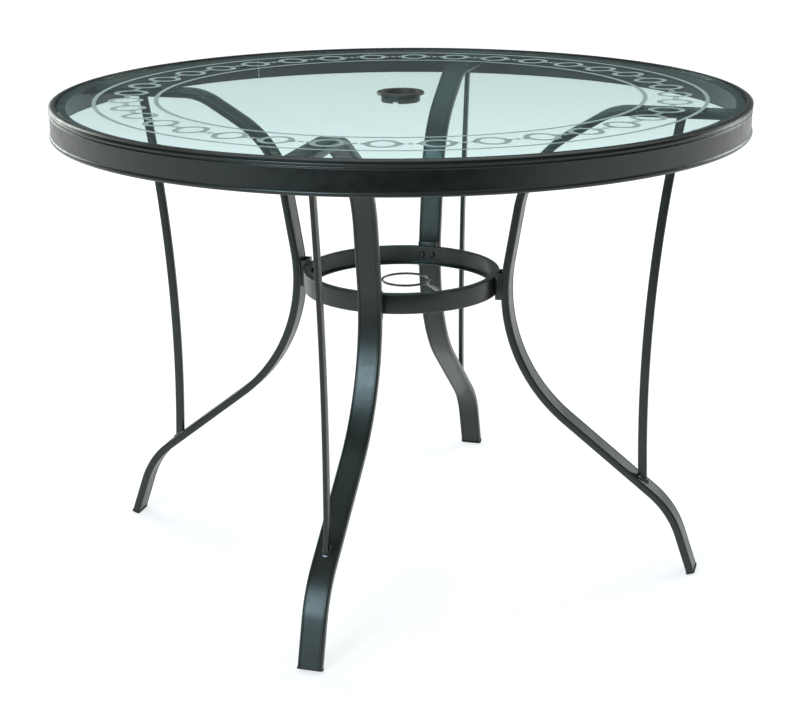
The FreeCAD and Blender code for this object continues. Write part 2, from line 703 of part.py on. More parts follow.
# The pole loop is one round wire: an eye that goes round the umbrella's pole, closed
# to a point from which the wire's two ends run side by side to the stretcher's web.
# They are cut to its curve and welded there. The arms run along this body's own X.
pole_loop = new_body("pole_loop")
loop_path = new_sketch(pole_loop, "LoopPath", "XY_Plane", S.ring_level + S.loop_rise)
wire_step = S.wire_radius + S.arm_gap / 2
far_arm, near_arm = S.arm_aside + wire_step, S.arm_aside - wire_step
back_y, front_y = far_arm + S.back_bend, near_arm - S.front_bend
back_touch, front_touch = S.eye_radius + S.back_bend, S.eye_radius + S.front_bend
back_x = root(back_touch * back_touch
              - (back_y - S.eye_aside) * (back_y - S.eye_aside))
front_x = root(front_touch * front_touch
               - (front_y - S.eye_aside) * (front_y - S.eye_aside))
eye_middle = FreeCAD.Vector(0, S.eye_aside.value, 0)
back_middle = FreeCAD.Vector(back_x.value, back_y.value, 0)
front_middle = FreeCAD.Vector(front_x.value, front_y.value, 0)
level = FreeCAD.Vector(0, 0, 1)


def add_turn(centre, radius, first, last):
    """An arc about a centre, anticlockwise between two directions in radians."""
    circle = Part.Circle(centre, level, radius.value)
    return loop_path.addGeometry(Part.ArcOfCircle(circle, first, last), False)


def heading(middle):
    """Direction from the eye's middle to a bend's middle, in radians."""
    away = middle - eye_middle
    return math.atan2(away.y, away.x)


far_run = add_line(loop_path, FreeCAD.Vector(S.ring_radius.value, far_arm.value, 0),
                   FreeCAD.Vector(back_x.value, far_arm.value, 0))[0]
back_turn = add_turn(back_middle, S.back_bend, heading(back_middle) + math.pi,
                     math.pi * 3 / 2)
eye = add_turn(eye_middle, S.eye_radius, heading(back_middle),
               heading(front_middle) + math.pi * 2)
front_turn = add_turn(front_middle, S.front_bend, math.pi / 2,
                      heading(front_middle) + math.pi)
near_run = add_line(loop_path, FreeCAD.Vector(front_x.value, near_arm.value, 0),
                    FreeCAD.Vector(S.ring_radius.value, near_arm.value, 0))[0]
for before, tail, after, head in ((far_run, 2, back_turn, 2), (back_turn, 1, eye, 1),
                                  (eye, 2, front_turn, 2), (front_turn, 1, near_run, 1)):
    loop_path.addConstraint(Sketcher.Constraint("Tangent", before, tail, after, head))
bind_constraint(loop_path, "Radius", back_turn, S.back_bend)
bind_constraint(loop_path, "Radius", eye, S.eye_radius)
bind_constraint(loop_path, "Radius", front_turn, S.front_bend)
fix_point(loop_path, eye, 3, sized(0), S.eye_aside)
fix_point(loop_path, far_run, 1, S.ring_radius, far_arm)
fix_point(loop_path, near_run, 2, S.ring_radius, near_arm)
loop_path.addConstraint(Sketcher.Constraint("Horizontal", far_run))
loop_path.addConstraint(Sketcher.Constraint("Horizontal", near_run))
loop_wire = new_sketch(pole_loop, "LoopWire", "YZ_Plane", S.ring_radius)
add_circle(loop_wire, far_arm, S.ring_level + S.loop_rise, S.wire_radius)
add_pipe(pole_loop, loop_wire, loop_path)
arm_ends = new_sketch(pole_loop, "ArmEnds", "XY_Plane", ring_top)
add_circle(arm_ends, sized(0), sized(0), web_inside - S.weld_gap)
add_circle(arm_ends, sized(0), sized(0), S.ring_radius * 2)
add_pocket(pole_loop, arm_ends, S.ring_height)
bind_place(pole_loop, 0, 0, 0, S.loop_turn)

doc.recompute()
for thing in doc.Objects:
    if "Invalid" in thing.State or "Error" in thing.State:
        raise RuntimeError("%s did not build: %s" % (thing.Label, thing.State))

os.makedirs("parts", exist_ok=True)
for piece in parts:
    shape = piece.Shape
    if shape.isNull() or not shape.isValid() or not shape.Solids:
        raise RuntimeError("%s has no valid solid" % piece.Label)
    shape.exportStep("parts/%s.step" % piece.Label)
    print("%-22s solids %2d  volume %.1f cm3" % (piece.Label, len(shape.Solids),
                                                shape.Volume / 1000))
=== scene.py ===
import math

import bpy
from mathutils import Matrix, Vector


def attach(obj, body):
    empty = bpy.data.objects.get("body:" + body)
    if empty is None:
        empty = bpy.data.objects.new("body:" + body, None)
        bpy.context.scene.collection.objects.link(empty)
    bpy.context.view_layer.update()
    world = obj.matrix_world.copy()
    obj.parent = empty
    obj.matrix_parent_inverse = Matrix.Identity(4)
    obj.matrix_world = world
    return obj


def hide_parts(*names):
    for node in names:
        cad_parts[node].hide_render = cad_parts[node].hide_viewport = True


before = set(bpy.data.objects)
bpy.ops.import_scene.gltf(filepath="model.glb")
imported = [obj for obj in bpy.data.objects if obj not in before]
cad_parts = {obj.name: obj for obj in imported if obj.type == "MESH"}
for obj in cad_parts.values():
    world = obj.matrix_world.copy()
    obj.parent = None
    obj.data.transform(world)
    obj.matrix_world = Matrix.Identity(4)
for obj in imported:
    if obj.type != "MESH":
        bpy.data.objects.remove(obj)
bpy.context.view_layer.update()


# The room: a pale floor in front of a white sweep. Both show plain white where they are
# looked at, mirrored or seen through glass, and the floor takes the shadow. The studio
# above the sweep and behind the camera is dimmer, which only gloss shows.
view = bpy.context.scene.view_settings
view.view_transform = "Standard"


def add_maths(nodes, links, operation, first, second):
    """Joins two values, each a socket or a number, by a maths node."""
    node = nodes.new("ShaderNodeMath")
    node.operation = operation
    for socket, value in zip(node.inputs, (first, second)):
        if isinstance(value, (int, float)):
            socket.default_value = value
        else:
            links.new(value, socket)
    return node.outputs["Value"]


def add_mix(nodes, links, share, first, second):
    """Mixes two shaders by a share between none and one."""
    mix = nodes.new("ShaderNodeMixShader")
    links.new(share, mix.inputs["Fac"])
    links.new(first, mix.inputs[1])
    links.new(second, mix.inputs[2])
    return mix.outputs["Shader"]


def fade(nodes, links, value, start, end, low, high):
    """Fades from one level to another while a value runs from start to end."""
    ramp = nodes.new("ShaderNodeMapRange")
    ramp.interpolation_type = "SMOOTHSTEP"
    for socket, level in zip(("From Min", "From Max", "To Min", "To Max"),
                             (start, end, low, high)):
        ramp.inputs[socket].default_value = level
    links.new(value, ramp.inputs["Value"])
    return ramp.outputs["Result"]


towards_camera = (0.277, -0.961, 0)
world = bpy.data.worlds.new("studio")
bpy.context.scene.world = world
world.use_nodes = True
nodes, links = world.node_tree.nodes, world.node_tree.links
soft = nodes["Background"]
soft.inputs["Color"].default_value = (1, 1, 1, 1)
soft.inputs["Strength"].default_value = 0.27
sweep = nodes.new("ShaderNodeBackground")
sweep.inputs["Color"].default_value = (1, 1, 1, 1)
sweep.inputs["Strength"].default_value = 1
mirrored = nodes.new("ShaderNodeBackground")
mirrored.inputs["Color"].default_value = (0.86, 0.97, 1, 1)
place = nodes.new("ShaderNodeTexCoord")
height = nodes.new("ShaderNodeSeparateXYZ")
links.new(place.outputs["Generated"], height.inputs["Vector"])
front = nodes.new("ShaderNodeVectorMath")
front.operation = "DOT_PRODUCT"
front.inputs[1].default_value = towards_camera
links.new(place.outputs["Generated"], front.inputs[0])
rise = height.outputs["Z"]
path = nodes.new("ShaderNodeLightPath")
# A ray that goes straight through the glass counts as glossy too, so it is taken out.
only_mirrored = add_maths(nodes, links, "SUBTRACT", path.outputs["Is Glossy Ray"],
                          path.outputs["Is Transmission Ray"])
frontal = add_maths(nodes, links, "MULTIPLY",
                    add_maths(nodes, links, "MAXIMUM", only_mirrored, 0.0),
                    fade(nodes, links, front.outputs["Value"], 0.55, 0.95, 0, 1))
behind = add_maths(nodes, links, "SUBTRACT", 1.0, frontal)
sweep_level = add_maths(nodes, links, "MULTIPLY", behind,
                        fade(nodes, links, rise, 0.0, 0.12, 1, 0.16))
studio_level = add_maths(nodes, links, "MULTIPLY", frontal,
                         fade(nodes, links, rise, -0.12, 0.25, 0.02, 0.6))
ceiling_level = fade(nodes, links, rise, 0.4, 0.8, 0, 0.2)
links.new(add_maths(nodes, links, "ADD", sweep_level,
                    add_maths(nodes, links, "ADD", studio_level, ceiling_level)),
          mirrored.inputs["Strength"])
mirrored_or_bent = add_maths(nodes, links, "MAXIMUM", path.outputs["Is Glossy Ray"],
                             path.outputs["Is Transmission Ray"])
links.new(add_mix(nodes, links, path.outputs["Is Camera Ray"],
                  add_mix(nodes, links, mirrored_or_bent, soft.outputs[0],
                          mirrored.outputs[0]),
                  sweep.outputs[0]), nodes["World Output"].inputs["Surface"])

floor_side, floor_front = 16, -1.6
near_glow, far_glow = 0.65, 0.92
bpy.ops.object.select_all(action="DESELECT")
bpy.ops.mesh.primitive_plane_add(size=floor_side,
                                 location=(0, floor_side / 2 + floor_front, 0))
bpy.ops.object.transform_apply(location=True)
floor = bpy.context.object
floor.name = "floor"
floor_paint = bpy.data.materials.new("floor_paint")
floor_paint.use_nodes = True
nodes, links = floor_paint.node_tree.nodes, floor_paint.node_tree.links
paint = nodes["Principled BSDF"]
paint.inputs["Base Color"].default_value = (0.5, 0.5, 0.5, 1)
paint.inputs["Roughness"].default_value = 0.9
glow = nodes.new("ShaderNodeEmission")
place = nodes.new("ShaderNodeTexCoord")
away = nodes.new("ShaderNodeVectorMath")
away.operation = "LENGTH"
links.new(place.outputs["Object"], away.inputs[0])
links.new(fade(nodes, links, away.outputs["Value"], 1.0, 3.5, near_glow, far_glow),
          glow.inputs["Strength"])
both = nodes.new("ShaderNodeAddShader")
links.new(paint.outputs[0], both.inputs[0])
links.new(glow.outputs[0], both.inputs[1])
path = nodes.new("ShaderNodeLightPath")
seen = add_maths(nodes, links, "MAXIMUM", path.outputs["Is Glossy Ray"],
                 add_maths(nodes, links, "MAXIMUM", path.outputs["Is Camera Ray"],
                           path.outputs["Is Transmission Ray"]))
links.new(add_mix(nodes, links, seen, paint.outputs[0], both.outputs[0]),
          nodes["Material Output"].inputs["Surface"])
floor.data.materials.append(floor_paint)


def add_softbox(name, place, aim, wide, high, power, colour):
    """A rectangular lamp at a place, turned towards a point."""
    bpy.ops.object.light_add(type="AREA", location=place)
    lamp = bpy.context.object
    lamp.name = name
    lamp.data.shape = "RECTANGLE"
    lamp.data.size = wide
    lamp.data.size_y = high
    lamp.data.energy = power
    lamp.data.color = colour
    lamp.rotation_euler = (Vector(aim) - Vector(place)).to_track_quat("-Z", "Y").to_euler()
    lamp.visible_camera = False


# Four softboxes. The left and the right one stand behind the table and brighten the
# rim's ends, and the cool front one puts a sheen on the bends of the front leg.
add_softbox("top_lamp", (0.1, 0.5, 2.9), (0.1, 0.3, 0.7), 3.0, 2.4, 25, (0.9, 0.93, 1))
add_softbox("left_lamp", (-2.5, 1.3, 1.4), (0, 0, 0.5), 1.4, 1.2, 28, (0.95, 1, 0.94))
add_softbox("right_lamp", (2.0, 2.2, 1.4), (0, 0, 0.5), 1.4, 1.2, 28, (0.95, 1, 0.94))
add_softbox("front_lamp", (-1.2, -4.2, 2.4), (0, 0, 0.3), 1.8, 2.2, 115, (0.64, 0.82, 1))

# The camera stands in front and to the right of the front leg, at chest height, and
# looks down by eighteen degrees.
bpy.ops.object.camera_add()
camera = bpy.context.object
camera.matrix_world = (Matrix.Translation((0.6922, -2.3981, 1.1009))
                       @ Matrix.Rotation(math.radians(16.18), 4, "Z")
                       @ Matrix.Rotation(math.radians(72.193), 4, "X")
                       @ Matrix.Rotation(-0.0067, 4, "Z"))
camera.data.sensor_width = 36
camera.data.lens = 76.595
camera.data.clip_end = 60
bpy.context.scene.camera = camera


# The rim: one hollow aluminium extrusion, rolled to a hoop, welded at its ends and
# powder coated. A rounded land tops a band with two beads and a rolled lower edge,
# and an inner wall ends in the ledge that carries the glass.
def arc(start, end, radius, steps):
    """Points of an outline's arc, which swells to the right of the line it spans."""
    start, end = Vector(start), Vector(end)
    half = (end - start) / 2
    aside = Vector((half.y, -half.x)).normalized()
    middle = start + half - aside * math.sqrt(radius * radius - half.length_squared)
    turn = 2 * math.asin(half.length / radius)
    return [middle + Matrix.Rotation(turn * step / steps, 2) @ (start - middle)
            for step in range(steps + 1)]


def bead(radius, low, high, swell, steps=6):
    """Points of a bead that stands out from a band between two levels."""
    half = (high - low) / 2
    crown = (half * half + swell * swell) / (2 * swell)
    return arc((radius, low), (radius, high), crown, steps)


def draw(name, points):
    """Starts a piece as one point and draws it out along an outline."""
    bpy.ops.object.select_all(action="DESELECT")
    bpy.ops.mesh.primitive_plane_add(size=0.001)
    piece = bpy.context.object
    piece.name = name
    piece.data.name = name
    bpy.ops.object.mode_set(mode="EDIT")
    bpy.ops.mesh.select_mode(type="VERT")
    bpy.ops.mesh.select_all(action="SELECT")
    bpy.ops.mesh.merge(type="CENTER")
    bpy.ops.transform.translate(value=points[0])
    for start, end in zip(points, points[1:]):
        step = Vector(end) - Vector(start)
        bpy.ops.mesh.extrude_region_move(TRANSFORM_OT_translate={"value": step})
    bpy.ops.mesh.select_all(action="SELECT")
    bpy.ops.mesh.remove_doubles(threshold=0.00001)
    return piece


def close_shell():
    """Joins a piece's open seams and turns its faces outwards."""
    bpy.ops.mesh.select_all(action="SELECT")
    bpy.ops.mesh.remove_doubles(threshold=0.00001)
    bpy.ops.mesh.normals_make_consistent(inside=False)
    bpy.ops.object.mode_set(mode="OBJECT")


def turn_hoop(name, outline, steps):
    """Turns a closed outline of (reach, level) points round the upright axis."""
    piece = draw(name, [(reach, 0, level) for reach, level in outline + outline[:1]])
    bpy.ops.mesh.spin(steps=steps, angle=2 * math.pi, center=(0, 0, 0), axis=(0, 0, 1))
    close_shell()
    return piece


def fit(piece, material, slot, body, *nodes):
    """Gives a piece its finish and fixes it to the body that carries it."""
    bpy.ops.object.select_all(action="DESELECT")
    piece.select_set(True)
    bpy.context.view_layer.objects.active = piece
    bpy.ops.object.shade_smooth_by_angle(angle=math.radians(35))
    piece.data.materials.clear()
    piece.data.materials.append(material)
    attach(piece, body)
    if nodes:
        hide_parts(*nodes)


def new_finish(name, colour, roughness, specular=0.5):
    """A material with its plain values on the shader."""
    material = bpy.data.materials.new(name)
    material.use_nodes = True
    shader = material.node_tree.nodes["Principled BSDF"]
    shader.inputs["Base Color"].default_value = (*colour, 1)
    shader.inputs["Roughness"].default_value = roughness
    shader.inputs["Specular IOR Level"].default_value = specular
    return material


def drift(material, socket, scale, low, high, detail=3):
    """Lets one of the shader's values drift between two over the surface."""
    nodes, links = material.node_tree.nodes, material.node_tree.links
    place = nodes.new("ShaderNodeTexCoord")
    cloud = nodes.new("ShaderNodeTexNoise")
    cloud.inputs["Scale"].default_value = scale
    cloud.inputs["Detail"].default_value = detail
    ramp = nodes.new("ShaderNodeValToRGB")
    ramp.color_ramp.elements[0].position = 0.35
    ramp.color_ramp.elements[0].color = (*low, 1)
    ramp.color_ramp.elements[1].position = 0.65
    ramp.color_ramp.elements[1].color = (*high, 1)
    links.new(place.outputs["Object"], cloud.inputs["Vector"])
    links.new(cloud.outputs["Fac"], ramp.inputs["Fac"])
    links.new(ramp.outputs["Color"], nodes["Principled BSDF"].inputs[socket])


def grain(material, scale, depth):
    """Raises a fine grain on the surface."""
    nodes, links = material.node_tree.nodes, material.node_tree.links
    place = nodes.new("ShaderNodeTexCoord")
    cloud = nodes.new("ShaderNodeTexNoise")
    cloud.inputs["Scale"].default_value = scale
    cloud.inputs["Detail"].default_value = 2
    bump = nodes.new("ShaderNodeBump")
    bump.inputs["Strength"].default_value = 0.6
    bump.inputs["Distance"].default_value = depth
    links.new(place.outputs["Object"], cloud.inputs["Vector"])
    links.new(cloud.outputs["Fac"], bump.inputs["Height"])
    links.new(bump.outputs["Normal"], nodes["Principled BSDF"].inputs["Normal"])


powder_coat = new_finish("powder_coat", (0.0075, 0.0085, 0.007), 0.32, 0.6)
shader = powder_coat.node_tree.nodes["Principled BSDF"]
shader.inputs["Specular Tint"].default_value = (0.9, 1, 0.92, 1)
drift(powder_coat, "Base Color", 9, (0.006, 0.007, 0.0055), (0.010, 0.0115, 0.009))
drift(powder_coat, "Roughness", 60, (0.28,) * 3, (0.36,) * 3)
grain(powder_coat, 900, 0.00012)

fine_steps = 288
rim_outline = [(0.5045, 0.665)] + bead(0.507, 0.665, 0.6715, 0.0018, 8)
rim_outline += bead(0.507, 0.6978, 0.6998, 0.0006, 5)
rim_outline += [(0.5062, 0.7002), (0.5060, 0.7008), (0.5062, 0.7014)]
rim_outline += bead(0.507, 0.7018, 0.706, 0.001)
rim_outline += [(0.5062, 0.7063), (0.5058, 0.7070), (0.5060, 0.7077), (0.5066, 0.7080),
                (0.5077, 0.7080), (0.508, 0.7082)]
rim_outline += arc((0.508, 0.7086), (0.501, 0.711), 0.01141, 8)
rim_outline += arc((0.501, 0.711), (0.498, 0.7102), 0.00603, 5)[1:]
rim_outline += [(0.498, 0.7035), (0.4846, 0.7035), (0.484, 0.7029), (0.484, 0.7016),
                (0.4846, 0.701), (0.5005, 0.701), (0.5005, 0.7061), (0.5045, 0.7061)]
rim = turn_hoop("rim", rim_outline, fine_steps)
fit(rim, powder_coat, "frame_coat", "table_frame", "rim_ring")

# The rim's ends meet halfway between the back and the left leg. The butt weld is dressed flush
# outside, and inside the band it stays as an upright bead whose pale bare-metal colour is a
# painted glint along the joint.
seam_radius, seam_length, seam_turn = 0.0007, 0.034, math.radians(135)
glint_weld = new_finish("glint_weld", (0.62, 0.64, 0.62), 0.28)
glint_weld.node_tree.nodes["Principled BSDF"].inputs["Metallic"].default_value = 1
grain(glint_weld, 900, 0.0003)
bpy.ops.object.select_all(action="DESELECT")
bpy.ops.mesh.primitive_cylinder_add(vertices=12, radius=seam_radius, depth=seam_length,
                                    location=(0.5043, 0, 0.684))
rim_seam = bpy.context.object
rim_seam.name = "rim_seam"
bpy.ops.object.transform_apply(location=True)
bpy.ops.object.mode_set(mode="EDIT")
bpy.ops.mesh.select_all(action="SELECT")
bpy.ops.mesh.bevel(offset=0.0002, segments=2, affect="EDGES")
close_shell()
rim_seam.rotation_euler.z = seam_turn
bpy.ops.object.transform_apply(rotation=True)
fit(rim_seam, glint_weld, "frame_coat", "table_frame")


# The glass: a tempered disc, faintly blue-green, with a ground edge and a hole for the
# umbrella's pole. It lies loose in the rim on eight clear cushions.
tinted_glass = new_finish("tinted_glass", (0.75, 0.945, 0.925), 0.0)
shader = tinted_glass.node_tree.nodes["Principled BSDF"]
shader.inputs["Transmission Weight"].default_value = 1
shader.inputs["IOR"].default_value = 1.08
drift(tinted_glass, "Base Color", 1.5, (0.74, 0.94, 0.92), (0.76, 0.95, 0.93))
glass = turn_hoop("glass", [
    (0.0296, 0.7045), (0.4966, 0.7045), (0.4972, 0.7051), (0.4972, 0.7089),
    (0.4966, 0.7095), (0.0296, 0.7095), (0.029, 0.7089), (0.029, 0.7051)], fine_steps)
glass.visible_shadow = False
fit(glass, tinted_glass, "tinted_glass", "glass", "glass_top")

clear_vinyl = new_finish("clear_vinyl", (0.6, 0.64, 0.61), 0.35)
clear_vinyl.node_tree.nodes["Principled BSDF"].inputs["Transmission Weight"].default_value = 1
drift(clear_vinyl, "Roughness", 300, (0.3,) * 3, (0.45,) * 3)
cushion_count, cushion_reach, first_turn = 8, 0.491, math.radians(22.5)
cushion_radius, cushion_height = 0.006, 0.001
bpy.ops.object.select_all(action="DESELECT")
bpy.ops.mesh.primitive_cylinder_add(vertices=32, radius=cushion_radius,
                                    depth=cushion_height,
                                    location=(cushion_reach * math.cos(first_turn),
                                              cushion_reach * math.sin(first_turn), 0.704))
cushions = bpy.context.object
cushions.name = "cushions"
bpy.ops.object.transform_apply(location=True)
bpy.ops.object.mode_set(mode="EDIT")
bpy.ops.mesh.select_all(action="SELECT")
bpy.ops.mesh.bevel(offset=0.00025, segments=2, affect="EDGES")
bpy.ops.mesh.select_all(action="SELECT")
bpy.ops.mesh.spin(steps=cushion_count - 1, dupli=True,
                  angle=2 * math.pi * (cushion_count - 1) / cushion_count,
                  center=(0, 0, 0), axis=(0, 0, 1))
close_shell()
fit(cushions, clear_vinyl, "clear_vinyl", "table_frame", "glass_pads")


# The border on the glass: a frosted ornament between two circles, ovals that small
# squares link to a chain. It is fired on, and stands a hair's breadth proud.
frost = new_finish("frost", (0.34, 0.44, 0.41), 0.7, 0.3)
drift(frost, "Base Color", 40, (0.31, 0.41, 0.38), (0.37, 0.47, 0.44))
grain(frost, 2500, 0.00004)
frost_low, frost_high = 0.7095, 0.70958


def frost_line(name, reach, wide):
    """A circle of the border, at its reach from the axis."""
    return turn_hoop(name, [
        (reach - wide / 2, frost_low), (reach + wide / 2, frost_low),
        (reach + wide / 2, frost_high), (reach - wide / 2, frost_high)], fine_steps)


outer_line = frost_line("border_outer_line", 0.4438, 0.006)
fit(outer_line, frost, "tinted_glass", "glass")
inner_line = frost_line("border_inner_line", 0.3555, 0.0065)
fit(inner_line, frost, "tinted_glass", "glass")

oval_count = 36
oval_radius, oval_stretch, oval_line = 0.0235, 1.1, 0.008
chain_reach = 0.399
chain_turn = math.radians(2.8)


def spread_round(count):
    """Repeats what is drawn round the table's axis."""
    bpy.ops.mesh.select_all(action="SELECT")
    bpy.ops.mesh.spin(steps=count - 1, dupli=True, angle=2 * math.pi * (count - 1) / count,
                      center=(0, 0, 0), axis=(0, 0, 1))


def raise_frost(piece):
    """Turns a flat drawing to its place in the chain, repeats and thickens it."""
    bpy.ops.object.mode_set(mode="OBJECT")
    piece.rotation_euler.z = chain_turn
    bpy.ops.object.transform_apply(location=True, rotation=True, scale=True)
    bpy.ops.object.mode_set(mode="EDIT")
    spread_round(oval_count)
    bpy.ops.mesh.select_all(action="SELECT")
    bpy.ops.mesh.normals_make_consistent(inside=False)
    bpy.ops.mesh.extrude_region_move(
        TRANSFORM_OT_translate={"value": (0, 0, frost_high - frost_low)})
    close_shell()
    fit(piece, frost, "tinted_glass", "glass")


bpy.ops.object.select_all(action="DESELECT")
bpy.ops.mesh.primitive_circle_add(vertices=40, radius=oval_radius, fill_type="NGON")
ovals = bpy.context.object
ovals.name = "border_ovals"
ovals.scale.x = oval_stretch
ovals.location = (chain_reach, 0, frost_low)
bpy.ops.object.transform_apply(location=True, scale=True)
bpy.ops.object.mode_set(mode="EDIT")
bpy.ops.mesh.select_mode(type="FACE")
bpy.ops.mesh.select_all(action="SELECT")
bpy.ops.mesh.inset(thickness=oval_line)
bpy.ops.mesh.delete(type="FACE")
raise_frost(ovals)

# One link: the square halfway between two ovals, and the points that they grow.
link_turn = math.pi / oval_count
link_middle = Vector((chain_reach * math.cos(link_turn), chain_reach * math.sin(link_turn), 0))
along = Vector((-math.sin(link_turn), math.cos(link_turn), 0))
across = Vector((math.cos(link_turn), math.sin(link_turn), 0))
for index, corners in enumerate((
        [(-0.0036, -0.0044), (0.0036, -0.0044), (0.0036, 0.0044), (-0.0036, 0.0044)],
        [(0.0066, -0.003), (0.0127, -0.0065), (0.0127, 0.0065), (0.0066, 0.003)],
        [(-0.0127, -0.0065), (-0.0066, -0.003), (-0.0066, 0.003), (-0.0127, 0.0065)])):
    points = [link_middle + along * a + across * b + Vector((0, 0, frost_low))
              for a, b in corners]
    link = draw("border_link_%d" % (index + 1), points + points[:1])
    bpy.ops.mesh.edge_face_add()
    raise_frost(link)


# The hole ring: a moulded olive-black collar that drops through the glass and grips the
# umbrella's pole. Its flange lies on the glass, and notches let its lower edge spring.
ring_plastic = new_finish("ring_plastic", (0.05, 0.052, 0.04), 0.5)
drift(ring_plastic, "Roughness", 120, (0.42,) * 3, (0.58,) * 3)
grain(ring_plastic, 1600, 0.00008)
ring_foot = 0.6955
ring_outline = [(0.0258, ring_foot), (0.0282, ring_foot), (0.0285, 0.6958),
                (0.0285, 0.7095), (0.035, 0.7095)]
ring_outline += arc((0.035, 0.7109), (0.0326, 0.7133), 0.0024, 6)
ring_outline += arc((0.0269, 0.7133), (0.0255, 0.7119), 0.0014, 5)
ring_outline += [(0.0255, 0.6958)]
hole_ring = turn_hoop("hole_ring", ring_outline, 144)
notch_width, notch_height = 0.008, 0.0024
for turn in (0, 90):
    bpy.ops.object.select_all(action="DESELECT")
    bpy.ops.mesh.primitive_cube_add(size=1, location=(0, 0, ring_foot),
                                    rotation=(0, 0, math.radians(turn)))
    cutter = bpy.context.object
    cutter.scale = (0.1, notch_width, notch_height * 2)
    bpy.ops.object.transform_apply(location=True, rotation=True, scale=True)
    bpy.context.view_layer.objects.active = hole_ring
    notch = hole_ring.modifiers.new("notch", "BOOLEAN")
    notch.operation = "DIFFERENCE"
    notch.object = cutter
    bpy.ops.object.modifier_apply(modifier="notch")
    bpy.data.objects.remove(cutter)
fit(hole_ring, ring_plastic, "black_plastic", "hole_ring", "umbrella_hole_ring")


# The legs: hollow flat aluminium bar with a raised border along its wide faces. Level
# under the rim, it bends down and in to the stretcher ring, then out to a foot that
# leans. Two screws hold its top to the rim's ledge.
def rounded(corners, steps=4):
    """Points of an outline whose (x, y, radius) corners are turned to their radius."""
    points = []
    for index, (x, y, radius) in enumerate(corners):
        corner = Vector((x, y))
        before = (Vector(corners[index - 1][:2]) - corner).normalized()
        after = (Vector(corners[(index + 1) % len(corners)][:2]) - corner).normalized()
        if not radius:
            points.append(corner)
            continue
        half = before.angle(after) / 2
        middle = corner + (before + after).normalized() * radius / math.sin(half)
        start = corner + before * radius / math.tan(half) - middle
        turn = math.copysign(math.pi - 2 * half, after.x * before.y - after.y * before.x)
        points += [middle + Matrix.Rotation(turn * step / steps, 2) @ start
                   for step in range(steps + 1)]
    return points


def bend_bar(name, section, start, corners, end, bend_step):
    """Draws an upright section out along straight runs and round its bends."""
    stations = [Vector((x, 0, z)) for x, z, *_ in [start] + corners + [end]]
    bar = draw(name, section + section[:1])
    bpy.ops.mesh.edge_face_add()
    here = stations[0]
    for index, (x, z, radius) in enumerate(corners, start=1):
        corner = stations[index]
        towards = (corner - stations[index - 1]).normalized()
        away = (stations[index + 1] - corner).normalized()
        turn = towards.angle(away)
        touch = corner - towards * radius * math.tan(turn / 2)
        bpy.ops.mesh.extrude_region_move(TRANSFORM_OT_translate={"value": touch - here})
        hand = math.copysign(1, towards.cross(away).y)
        centre = touch + Vector((0, hand, 0)).cross(towards) * radius
        bpy.ops.mesh.spin(steps=math.ceil(radius * turn / bend_step), angle=-turn * hand,
                          center=centre, axis=(0, 1, 0))
        here = corner + away * radius * math.tan(turn / 2)
    bpy.ops.mesh.extrude_region_move(TRANSFORM_OT_translate={"value": stations[-1] - here})
    close_shell()
    return bar


def set_round(piece, sides):
    """Copies a piece from the right-hand leg to the others; gives all four."""
    pieces = [piece]
    name = piece.name
    piece.name = name + "_" + sides[0]
    for index, side in enumerate(sides[1:], start=1):
        bpy.ops.object.select_all(action="DESELECT")
        piece.select_set(True)
        bpy.context.view_layer.objects.active = piece
        bpy.ops.object.duplicate(linked=False)
        other = bpy.context.object
        other.name = name + "_" + side
        other.data.name = other.name
        other.rotation_euler.z = math.radians(90 * index)
        bpy.ops.object.transform_apply(rotation=True)
        pieces.append(other)
    return pieces


SIDES = ("right", "back", "left", "front")
leg_section = rounded([
    (-0.0175, 0.689, 0.0032), (-0.0137, 0.689, 0), (-0.0134, 0.6898, 0),
    (-0.0128, 0.6898, 0), (-0.0124, 0.6894, 0), (0.0124, 0.6894, 0), (0.0128, 0.6898, 0),
    (0.0134, 0.6898, 0), (0.0137, 0.689, 0), (0.0175, 0.689, 0.0032),
    (0.0175, 0.701, 0.0032), (0.0137, 0.701, 0), (0.0134, 0.7002, 0),
    (0.0128, 0.7002, 0), (0.0124, 0.7006, 0), (-0.0124, 0.7006, 0), (-0.0128, 0.7002, 0),
    (-0.0134, 0.7002, 0), (-0.0137, 0.701, 0), (-0.0175, 0.701, 0.0032)])
leg_top, leg_level = 0.5035, 0.695
neck_reach, neck_level = 0.1426, 0.3206
shin_reach, shin_level = 0.4226, 0.1
foot_reach, foot_level = 0.45546, 0.00458
# Each bend is given by its corner's reach and level, and its radius.
leg = bend_bar("leg_bar", [(leg_top, y, z) for y, z in leg_section], (leg_top, leg_level), [
    (0.3154, leg_level, 0.0785), (0.19235, 0.6206, 0.1535),
    (neck_reach, neck_level, 0.2505), (shin_reach, shin_level, 0.1345)],
    (foot_reach, foot_level), 0.008)
for bar, side in zip(set_round(leg, SIDES), SIDES):
    fit(bar, powder_coat, "frame_coat", "table_frame", "leg_" + side)


# The struts: thinner bar that stands on each leg's slanting run and props its level
# top. It bows a little outwards, and is coped to the slope and welded at both ends.
strut_section = rounded([
    (0.4047, -0.0033, 0.0016), (0.4181, -0.0033, 0.0016), (0.4181, 0.0033, 0.0016),
    (0.4047, 0.0033, 0.0016)])
strut_reach, strut_top, strut_radius = 0.4114, 0.6894, 2.395
strut_head, strut_foot = Vector((strut_reach, 0, strut_top)), Vector((0.3768, 0, 0.13608))
half = (strut_foot - strut_head) / 2
aside = Vector((-half.z, 0, half.x)).normalized()
reach = math.sqrt(strut_radius ** 2 - half.length_squared)
strut_centre = strut_head + half + aside * reach
overlength = 1.02
strut_turn = 2 * math.asin(half.length / strut_radius) * overlength
strut = draw("strut_bar", [(x, y, strut_top)
                           for x, y in strut_section + strut_section[:1]])
bpy.ops.mesh.edge_face_add()
bpy.ops.mesh.spin(steps=24, angle=strut_turn, center=strut_centre, axis=(0, 1, 0))
